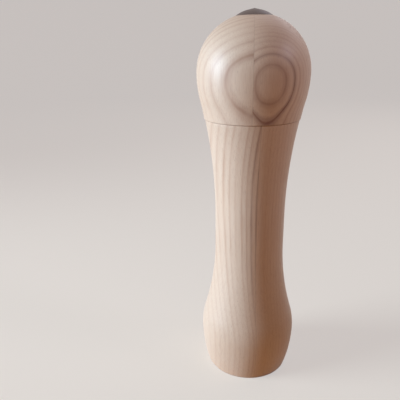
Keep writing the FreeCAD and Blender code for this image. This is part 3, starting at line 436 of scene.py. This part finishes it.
rays = raysAt("body")
low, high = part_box("body")
bottom, tenonTop = low[2], high[2]
recess = inside(rays, bottom + mm)
recessTop = above(rays, recess - mm, bottom + mm)
bore = inside(rays, recessTop + mm)
chamber = inside(rays, bodyShape["neckLow"])
boreTop = above(rays, (bore + chamber) / 2, recessTop + mm)
tenon = outside(rays, tenonTop - 2 * mm)
joint = below(rays, tenon + mm, tenonTop)
bm = bmesh.new()
first = bm.verts.new((recess, 0, bottom))
tip = penLine(bm, first, outside(rays, bottom + mm), bottom)
start = bottom + mm
for key in ("bulb", "shoulder", "neckLow"):
    stop = bodyShape[key]
    middle = (start + stop) / 2
    tip = penArc(bm, tip, (outside(rays, middle), middle), (outside(rays, stop), stop),
                 bodyShape["arcSteps"])
    start = stop
tip = penLine(bm, tip, outside(rays, bodyShape["neckHigh"]), bodyShape["neckHigh"])
middle = (bodyShape["neckHigh"] + joint) / 2
lip = outside(rays, joint - mm)
tip = penArc(bm, tip, (outside(rays, middle), middle), (lip, joint), bodyShape["flareSteps"])
tip = penLine(bm, tip, tenon, joint)
tip = penLine(bm, tip, tenon, tenonTop)
tip = penLine(bm, tip, chamber, tenonTop)
tip = penLine(bm, tip, chamber, boreTop)
tip = penLine(bm, tip, bore, boreTop)
tip = penLine(bm, tip, bore, recessTop)
tip = penLine(bm, tip, recess, recessTop)
bm.edges.new((tip, first))
turnOutline(bm, bodyShape)
body = finishPiece(bm, "turned_body", ashBody)
standFor(body, "body", "mill_body")
print("body turned,", len(body.data.polygons), "faces")


# Head

headShape = {
    "turn": 170.15 * mm,  # where the flare gives way to the round belly
    "belly": 185.25 * mm,
    "arcSteps": 16,
    "crownSteps": 32,
    "edge": 0.28 * mm,
    "steps": 160,
}
headGrain = {
    "glueTurn": 0.5,
    "boards": [
        {"pith": (-3.3, 27.2, 182), "lean": (-0.07, -0.045), "ringWidth": 3.15,
         "clear": 0.7, "clearFade": (160, 190, 0.75),
         "darkRing": 56.2, "darkYears": [(0, 0.34), (-1, 0.12)], "darkFade": (195, 165, 0.8)},
        {"pith": (-49.2, 163.7, 182), "lean": (-0.12, -0.1), "ringWidth": 1.6,
         "clear": 0.65, "clearFade": (195, 165, 0.75),
         "darkRing": 199.21, "darkYears": [(0, 0.95), (1, 0.42)], "darkFade": (196, 170, 0.45)},
    ],
    "wander": 0.25,
    "uneven": 0.0,
    # painted shade: darker bands in the seams with the body and with the cap
    "seamsAndShade": [(160.25, 0.35, 0.35), (214.3, 0.5, 0.3)],
}
ashHead = turnedAsh("ash_turned_head", headGrain)

rays = raysAt("head")
capLow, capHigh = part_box("top_cap")
capRadius = capHigh[0]
low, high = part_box("head")
bottom, crown = low[2], high[2]
mortise = inside(rays, bottom + 2 * mm)
mortiseTop = above(rays, mortise - mm, bottom + mm)
socketBore = inside(rays, mortiseTop + 2 * mm)
socketTop = above(rays, 0, mortiseTop)
pegBottom = below(rays, 0, crown)
pegBore = inside(rays, (pegBottom + crown) / 2)
bm = bmesh.new()
tip = bm.verts.new((0, 0, socketTop))
tip = penLine(bm, tip, socketBore, socketTop)
tip = penLine(bm, tip, socketBore, mortiseTop)
tip = penLine(bm, tip, mortise, mortiseTop)
tip = penLine(bm, tip, mortise, bottom)
tip = penLine(bm, tip, outside(rays, bottom + mm), bottom)
start = bottom + mm
for key in ("turn", "belly"):
    stop = headShape[key]
    middle = (start + stop) / 2
    tip = penArc(bm, tip, (outside(rays, middle), middle), (outside(rays, stop), stop),
                 headShape["arcSteps"])
    start = stop
middle = (headShape["belly"] + crown) / 2
tip = penArc(bm, tip, (outside(rays, middle), middle), (capRadius, crown), headShape["crownSteps"])
tip = penLine(bm, tip, pegBore, crown)
tip = penLine(bm, tip, pegBore, pegBottom)
tip = penLine(bm, tip, 0, pegBottom)
turnOutline(bm, headShape)
head = finishPiece(bm, "turned_head", ashHead)
standFor(head, "head", "head_set")
print("head turned,", len(head.data.polygons), "faces")


# Cap: wenge, turned and waxed: nearly black brown with thin paler lines and a dull gloss

capShape = {
    "nib": 3.8 * mm,  # where the dome runs on as a cone
    "domeAt": 0.55,  # share of the radius at which the dome's height is read
    "domeSteps": 20,
    "edge": 0.12 * mm,
    "steps": 128,
    "ground": "#5E4D47",
    "line": "#7A6860",
    "lines": (9, 0.7, 9),  # mm along and across them
    "rough": (0.38, 0.5),
    "relief": 0.03,  # mm
}


def turnedWenge(name):
    material, tree, bsdf, inMm = newMaterial(name, {"IOR": 1.5})
    bands = addNode(tree, "ShaderNodeMapping", {"vector_type": "POINT"},
                    {"Vector": inMm, "Scale": tuple(1 / size for size in capShape["lines"])}).outputs[0]
    line = addNode(tree, "ShaderNodeTexNoise", None,
                   {"Vector": bands, "Scale": 1.0, "Detail": 4.0, "Roughness": 0.6}).outputs[0]
    share = addNode(tree, "ShaderNodeValToRGB", None, {0: line},
                    [(0.0, 0.0), (0.42, 0.0), (0.66, 1.0)]).outputs[0]
    colour = addNode(tree, "ShaderNodeMix", {"data_type": "RGBA"},
                     {0: share, 6: tint(capShape["ground"]), 7: tint(capShape["line"])}).outputs[2]
    tree.links.new(colour, bsdf.inputs["Base Color"])
    smooth, dull = capShape["rough"]
    gloss = addNode(tree, "ShaderNodeMapRange", None,
                    {0: line, 1: 0.3, 2: 0.7, 3: smooth, 4: dull}).outputs[0]
    tree.links.new(gloss, bsdf.inputs["Roughness"])
    bump = addNode(tree, "ShaderNodeBump", None,
                   {"Strength": 0.4, "Distance": capShape["relief"] * mm, "Height": line}).outputs[0]
    tree.links.new(bump, bsdf.inputs["Normal"])
    return material


wenge = turnedWenge("wenge_turned_waxed")
rays = raysAt("top_cap")
peg = outside(rays, (capLow[2] + crown) / 2)
skyHigh = 1  # rays down onto the cap start here
nibFoot = below(rays, capShape["nib"], skyHigh)
domeAt = capRadius * capShape["domeAt"]
bm = bmesh.new()
tip = bm.verts.new((0, 0, capLow[2]))
tip = penLine(bm, tip, peg, capLow[2])
tip = penLine(bm, tip, peg, crown)
tip = penLine(bm, tip, capRadius, crown)
tip = penArc(bm, tip, (domeAt, below(rays, domeAt, skyHigh)), (capShape["nib"], nibFoot),
             capShape["domeSteps"])
tip = penLine(bm, tip, 0, capHigh[2])
turnOutline(bm, capShape)
cap = finishPiece(bm, "crown_plug", wenge)
standFor(cap, "top_cap", "head_set")
print("cap turned,", len(cap.data.polygons), "faces")


# Finishes of the mechanism; sizes in mm, the finest drawn coarser than they are so that they show

finishLook = {
    "spark": 0.35,  # the mould's grain
    "streak": 9,  # how wide the polymer's shade varies
    "stain": 6,  # how wide the metal's shade varies
    "speck": 0.4,  # the ceramic's grain
    "polymerRough": 0.06,  # how much the roughness varies either way
    "metalRough": 0.05,
    "ceramicRough": (0.35, 0.5),
    "polymerRelief": 0.02,
    "metalRelief": 0.01,
    "ceramicRelief": 0.02,
}


def mouldedPolymer(name, colours, rough):  # acetal or rubber: dull, with the mould's fine spark grain
    material, tree, bsdf, inMm = newMaterial(name, {"IOR": 1.48})
    spark = addNode(tree, "ShaderNodeTexNoise", None,
                    {"Vector": inMm, "Scale": 1 / finishLook["spark"], "Detail": 2.0}).outputs[0]
    streak = addNode(tree, "ShaderNodeTexNoise", None,
                     {"Vector": inMm, "Scale": 1 / finishLook["streak"], "Detail": 2.0}).outputs[0]
    shade = addNode(tree, "ShaderNodeValToRGB", None, {0: streak},
                    [(0.3, tint(colours[0])), (0.7, tint(colours[1]))]).outputs[0]
    tree.links.new(shade, bsdf.inputs["Base Color"])
    vary = finishLook["polymerRough"]
    gloss = addNode(tree, "ShaderNodeMapRange", None,
                    {0: spark, 1: 0.3, 2: 0.7, 3: rough - vary, 4: rough + vary}).outputs[0]
    tree.links.new(gloss, bsdf.inputs["Roughness"])
    relief = finishLook["polymerRelief"] * mm
    bump = addNode(tree, "ShaderNodeBump", None,
                   {"Strength": 0.5, "Distance": relief, "Height": spark}).outputs[0]
    tree.links.new(bump, bsdf.inputs["Normal"])
    return material


def workedMetal(name, colours, rough, toolLines):  # metal with tool lines of the given size
    material, tree, bsdf, inMm = newMaterial(name, {"Metallic": 1.0})
    along = addNode(tree, "ShaderNodeMapping", {"vector_type": "POINT"},
                    {"Vector": inMm, "Scale": tuple(1 / size for size in toolLines)}).outputs[0]
    line = addNode(tree, "ShaderNodeTexNoise", None,
                   {"Vector": along, "Scale": 1.0, "Detail": 3.0, "Roughness": 0.6}).outputs[0]
    stain = addNode(tree, "ShaderNodeTexNoise", None,
                    {"Vector": inMm, "Scale": 1 / finishLook["stain"], "Detail": 3.0}).outputs[0]
    shade = addNode(tree, "ShaderNodeValToRGB", None, {0: stain},
                    [(0.3, tint(colours[0])), (0.7, tint(colours[1]))]).outputs[0]
    tree.links.new(shade, bsdf.inputs["Base Color"])
    vary = finishLook["metalRough"]
    gloss = addNode(tree, "ShaderNodeMapRange", None,
                    {0: line, 1: 0.3, 2: 0.7, 3: rough - vary, 4: rough + vary}).outputs[0]
    tree.links.new(gloss, bsdf.inputs["Roughness"])
    relief = finishLook["metalRelief"] * mm
    bump = addNode(tree, "ShaderNodeBump", None,
                   {"Strength": 0.2, "Distance": relief, "Height": line}).outputs[0]
    tree.links.new(bump, bsdf.inputs["Normal"])
    return material


def firedCeramic(name, colours):  # alumina, pressed and fired: milky white, faintly speckled, half dull
    material, tree, bsdf, inMm = newMaterial(name, {"IOR": 1.7})
    speck = addNode(tree, "ShaderNodeTexNoise", None,
                    {"Vector": inMm, "Scale": 1 / finishLook["speck"], "Detail": 3.0}).outputs[0]
    shade = addNode(tree, "ShaderNodeValToRGB", None, {0: speck},
                    [(0.25, tint(colours[0])), (0.5, tint(colours[1])),
                     (0.75, tint(colours[2]))]).outputs[0]
    tree.links.new(shade, bsdf.inputs["Base Color"])
    smooth, dull = finishLook["ceramicRough"]
    gloss = addNode(tree, "ShaderNodeMapRange", None,
                    {0: speck, 1: 0.3, 2: 0.7, 3: smooth, 4: dull}).outputs[0]
    tree.links.new(gloss, bsdf.inputs["Roughness"])
    relief = finishLook["ceramicRelief"] * mm
    bump = addNode(tree, "ShaderNodeBump", None,
                   {"Strength": 0.2, "Distance": relief, "Height": speck}).outputs[0]
    tree.links.new(bump, bsdf.inputs["Normal"])
    return material


blackAcetal = mouldedPolymer("acetal_moulded_black", ("#1B1B1C", "#232324"), 0.45)
greyAcetal = mouldedPolymer("acetal_moulded_grey", ("#55575A", "#606266"), 0.42)
nitrile = mouldedPolymer("nitrile_rubber", ("#161514", "#201E1C"), 0.6)
aluminium = workedMetal("aluminium_drawn", ("#BFC0C2", "#CFD0D1"), 0.34, (0.25, 0.25, 12))
springSteel = workedMetal("spring_steel", ("#8E8C88", "#A5A39E"), 0.3, (0.4, 0.4, 0.4))
zincSteel = workedMetal("steel_zinc_plated", ("#A9ADB0", "#C2C5C6"), 0.32, (0.5, 0.5, 0.5))
bronze = workedMetal("bronze_turned", ("#9C7443", "#B58B55"), 0.36, (3, 3, 0.25))
ceramic = firedCeramic("alumina_fired", ("#E6E3DC", "#ECE9E2", "#EFEDE7"))


# Spring and grip ring are made anew, the other pieces are the CAD forms with their corners broken

springShape = {
    "wire": 0.45 * mm,
    "turns": 4.5,
    "deadTurn": 0.75,  # at each end
    "deadPitch": 2.2,  # in wire radii, so that the end turns lie wire on wire
    "perTurn": 40,
    "section": 14,
}


def upright(r, z):  # stands a circle across the way it is spun
    return Matrix.Translation((r, 0, z)) @ Matrix.Rotation(math.pi / 2, 4, "X")


low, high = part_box("rotor_spring")
wire = springShape["wire"]
bm = bmesh.new()
bmesh.ops.create_circle(bm, radius=wire, segments=springShape["section"], cap_ends=True,
                        matrix=upright(high[0] - wire, low[2] + wire))
dead = springShape["deadTurn"]
alive = springShape["turns"] - 2 * dead
deadRise = dead * springShape["deadPitch"] * wire
aliveRise = high[2] - low[2] - 2 * wire - 2 * deadRise
end = bm.verts[:] + bm.edges[:] + bm.faces[:]
for turns, rise in ((dead, deadRise), (alive, aliveRise), (dead, deadRise)):
    steps = int(turns * springShape["perTurn"])
    end = bmesh.ops.spin(bm, geom=end, cent=(0, 0, 0), axis=(0, 0, 1), dvec=(0, 0, rise / steps),
                         angle=turns * math.tau, steps=steps)["geom_last"]
bmesh.ops.remove_doubles(bm, verts=bm.verts, dist=weld)
bmesh.ops.recalc_face_normals(bm, faces=bm.faces)
spring = finishPiece(bm, "grinder_spring", springSteel)
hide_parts("rotor_spring")
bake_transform(spring)
print("spring wound,", len(spring.data.polygons), "faces")

ringShape = {"around": 96, "section": 24}
low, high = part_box("grip_ring")
cord = (high[2] - low[2]) / 2
bm = bmesh.new()
bmesh.ops.create_circle(bm, radius=cord, segments=ringShape["section"],
                        matrix=upright(high[0] - cord, (low[2] + high[2]) / 2))
spinRound(bm, ringShape["around"])
gripRing = finishPiece(bm, "socket_grip_ring", nitrile)
standFor(gripRing, "grip_ring", "head_set")


copied = {"flat": 0.005, "corner": 0.7, "segments": 2, "sharp": 0.5}  # angles in radians


def brokenCopy(node, name, material, edge):
    bm = bmesh.new()
    bm.from_mesh(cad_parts[node].data)
    bmesh.ops.remove_doubles(bm, verts=bm.verts, dist=weld)
    if edge:
        bmesh.ops.dissolve_limit(bm, angle_limit=copied["flat"], verts=bm.verts, edges=bm.edges)
        breakCorners(bm, edge, copied)
        bmesh.ops.triangulate(bm, faces=[face for face in bm.faces if len(face.verts) > 4])
    return finishPiece(bm, name, material, copied)


innerPieces = [  # last: how far its corners are broken, not at all on the ceramic teeth
    ("drive_socket", "head_drive_socket", blackAcetal, "head_set", "black_acetal", 0.1 * mm),
    ("socket_screws", "head_socket_screws", zincSteel, "head_set", "zinc_steel", 0.06 * mm),
    ("shaft", "hex_drive_shaft", aluminium, "drive", "drawn_aluminium", 0.1 * mm),
    ("end_clip", "shaft_end_clip", springSteel, "drive", "spring_steel", 0.08 * mm),
    ("thrust_washer", "shaft_thrust_washer", springSteel, "mill_body", "spring_steel", 0.06 * mm),
    ("bearing_bush", "shaft_bearing_bush", bronze, "mill_body", "bronze", 0.1 * mm),
    ("spider", "bearing_spider", blackAcetal, "mill_body", "black_acetal", 0.12 * mm),
    ("housing", "grinder_housing", blackAcetal, "mill_body", "black_acetal", 0.12 * mm),
    ("housing_screws", "grinder_housing_screws", zincSteel, "mill_body", "zinc_steel", 0.06 * mm),
    ("stator", "ceramic_stator", ceramic, "mill_body", "white_ceramic", 0),
    ("stator_clip", "stator_snap_ring", springSteel, "mill_body", "spring_steel", 0.1 * mm),
    ("rotor", "ceramic_rotor", ceramic, "rotor_set", "white_ceramic", 0),
    ("rotor_core", "rotor_drive_core", blackAcetal, "rotor_set", "black_acetal", 0.1 * mm),
    ("adjusting_knob", "grind_knob", greyAcetal, "knob", "grey_acetal", 0.12 * mm),
    ("knob_nut", "grind_knob_nut", bronze, "knob", "bronze", 0.1 * mm),
]
for node, name, material, carrier, slot, edge in innerPieces:
    standFor(brokenCopy(node, name, material, edge), node, carrier)
print("mechanism dressed,", len(innerPieces) + 1, "pieces")


# Studio: pale paper all round that throws warm light back, a tall soft lamp from the left,
# a narrow cool one on the head from the right and a broad one from behind

studio = {
    "middle": 0.4,  # metres, from the middle of the floor to the top of the wall
    "floor": 1.5,
    "bend": 0.5,
    "wall": 1.3,
    "bendSteps": 12,
    "steps": 96,
    "paper": "#EADAC4",
    "bounce": "#D8A878",  # warm light thrown back on the wood
    "bounceNear": "#CE8A1C",  # and deeper close to its foot
    "bounceReach": (0.03, 0.5),  # from the foot outwards
    "paperLift": 0.5,  # light that only the camera and reflections see
    "paperShare": 0.5,
    "sky": 0.19,
    "skyColour": "#FFC38C",
    "haze": "#C9C5C0",  # what is seen above the paper
}
bm = bmesh.new()
bend = studio["bend"]
wall = studio["floor"] + bend
slant = math.sin(math.pi / 4)
tip = bm.verts.new((0, 0, 0))
tip = penLine(bm, tip, studio["middle"], 0)
tip = penLine(bm, tip, studio["floor"], 0)
tip = penArc(bm, tip, (studio["floor"] + bend * slant, bend * (1 - slant)), (wall, bend),
             studio["bendSteps"])
tip = penLine(bm, tip, wall, studio["wall"])
spinRound(bm, studio["steps"])
bm.faces.ensure_lookup_table()
if bm.faces[0].normal.z < 0:
    bmesh.ops.reverse_faces(bm, faces=bm.faces)


def seenAsBackground(tree):  # 1 for rays from the camera, and those that metal or glass send on
    path = addNode(tree, "ShaderNodeLightPath")
    seen = path.outputs["Is Camera Ray"]
    for kind in ("Is Glossy Ray", "Is Transmission Ray"):
        seen = addNode(tree, "ShaderNodeMath", {"operation": "MAXIMUM"},
                       {0: seen, 1: path.outputs[kind]}).outputs[0]
    return seen


paper = bpy.data.materials.new("studio_paper")
paper.use_nodes = True
tree = paper.node_tree
tree.nodes.clear()
matt = addNode(tree, "ShaderNodeBsdfDiffuse", None, {"Color": tint(studio["paper"])}).outputs[0]
onPaper = addNode(tree, "ShaderNodeTexCoord").outputs["Object"]
reach = addNode(tree, "ShaderNodeVectorMath", {"operation": "LENGTH"}, {0: onPaper}).outputs["Value"]
near, far = studio["bounceReach"]
further = addNode(tree, "ShaderNodeMapRange", None, {0: reach, 1: near, 2: far}).outputs[0]
glow = addNode(tree, "ShaderNodeMix", {"data_type": "RGBA"},
               {0: further, 6: tint(studio["bounceNear"]), 7: tint(studio["bounce"])}).outputs[2]
warm = addNode(tree, "ShaderNodeBsdfDiffuse", None, {"Color": glow}).outputs[0]
lift = addNode(tree, "ShaderNodeEmission", None,
               {"Color": tint("#FFFFFF"),
                "Strength": studio["paperLift"] / studio["paperShare"]}).outputs[0]
shown = addNode(tree, "ShaderNodeMixShader", None,
                {0: studio["paperShare"], 1: matt, 2: lift}).outputs[0]
sweep = addNode(tree, "ShaderNodeMixShader", None,
                {0: seenAsBackground(tree), 1: warm, 2: shown}).outputs[0]
addNode(tree, "ShaderNodeOutputMaterial", None, {"Surface": sweep})
floor = finishPiece(bm, "studio_sweep", paper)

world = bpy.data.worlds.new("studio")
world.use_nodes = True
scene.world = world
tree = world.node_tree
tree.nodes.clear()
sky = addNode(tree, "ShaderNodeBackground", None,
              {"Color": tint(studio["skyColour"]), "Strength": studio["sky"]}).outputs[0]
haze = addNode(tree, "ShaderNodeBackground", None,
               {"Color": tint(studio["haze"]), "Strength": 1.0}).outputs[0]
around = addNode(tree, "ShaderNodeMixShader", None,
                 {0: seenAsBackground(tree), 1: sky, 2: haze}).outputs[0]
addNode(tree, "ShaderNodeOutputWorld", None, {"Surface": around})

lamps = {  # turn from the front, rise and spread in degrees, aim in mm above the mill's middle
    "key": {"turn": -75, "rise": 13, "away": 1.15, "wide": 0.55, "tall": 0.72,
            "power": 2.92, "spread": 60, "aim": 0, "colour": "#D8EDFF"},
    "fill": {"turn": 80, "rise": 38, "away": 1.1, "wide": 0.3, "tall": 0.3,
             "power": 0.19, "spread": 30, "aim": 260, "colour": "#E4E8FF"},
    "back": {"turn": 146, "rise": 42, "away": 1.2, "wide": 0.8, "tall": 0.8,
             "power": 2.0, "spread": 180, "aim": 0, "colour": "#EEF0FF"},
}
target = Vector((0, 0, (cadBox[0][2] + cadBox[1][2]) / 2))
for name, lamp in lamps.items():
    turn = math.radians(lamp["turn"])
    rise = math.radians(lamp["rise"])
    way = Vector((math.sin(turn) * math.cos(rise), -math.cos(turn) * math.cos(rise), math.sin(rise)))
    light = bpy.data.lights.new(name, "AREA")
    light.shape = "RECTANGLE"
    light.size = lamp["wide"]
    light.size_y = lamp["tall"]
    light.spread = math.radians(lamp["spread"])
    light.energy = lamp["power"]
    light.color = tint(lamp["colour"])[:3]
    holder = bpy.data.objects.new(name, light)
    holder.location = target + way * lamp["away"]
    toward = holder.location - target - Vector((0, 0, lamp["aim"] * mm))
    holder.rotation_euler = toward.to_track_quat("Z", "Y").to_euler()
    scene.collection.objects.link(holder)
print("studio lit")


# Camera at the photograph's place, in mm and degrees

shot = {
    "place": (0, -260.08, 201.42),
    "turn": -6.68,
    "dip": 19.267,
    "roll": -0.84,
    "lens": 40.68,
    "film": 36,
    "nearest": 10,
}
turn, dip, roll = (math.radians(shot[key]) for key in ("turn", "dip", "roll"))
ahead = Vector((math.sin(turn) * math.cos(dip), math.cos(turn) * math.cos(dip), -math.sin(dip)))
level = Vector((math.cos(turn), -math.sin(turn), 0))
plumb = level.cross(ahead)
right = math.cos(roll) * level + math.sin(roll) * plumb
up = math.cos(roll) * plumb - math.sin(roll) * level
camera = bpy.data.cameras.new("photo_camera")
camera.lens = shot["lens"]
camera.sensor_width = shot["film"]
camera.clip_start = shot["nearest"] * mm
cameraObject = bpy.data.objects.new("photo_camera", camera)
view = Matrix((right, up, -ahead)).transposed().to_4x4()
cameraObject.matrix_world = Matrix.Translation(Vector(shot["place"]) * mm) @ view
scene.collection.objects.link(cameraObject)
scene.camera = cameraObject
print("camera set")
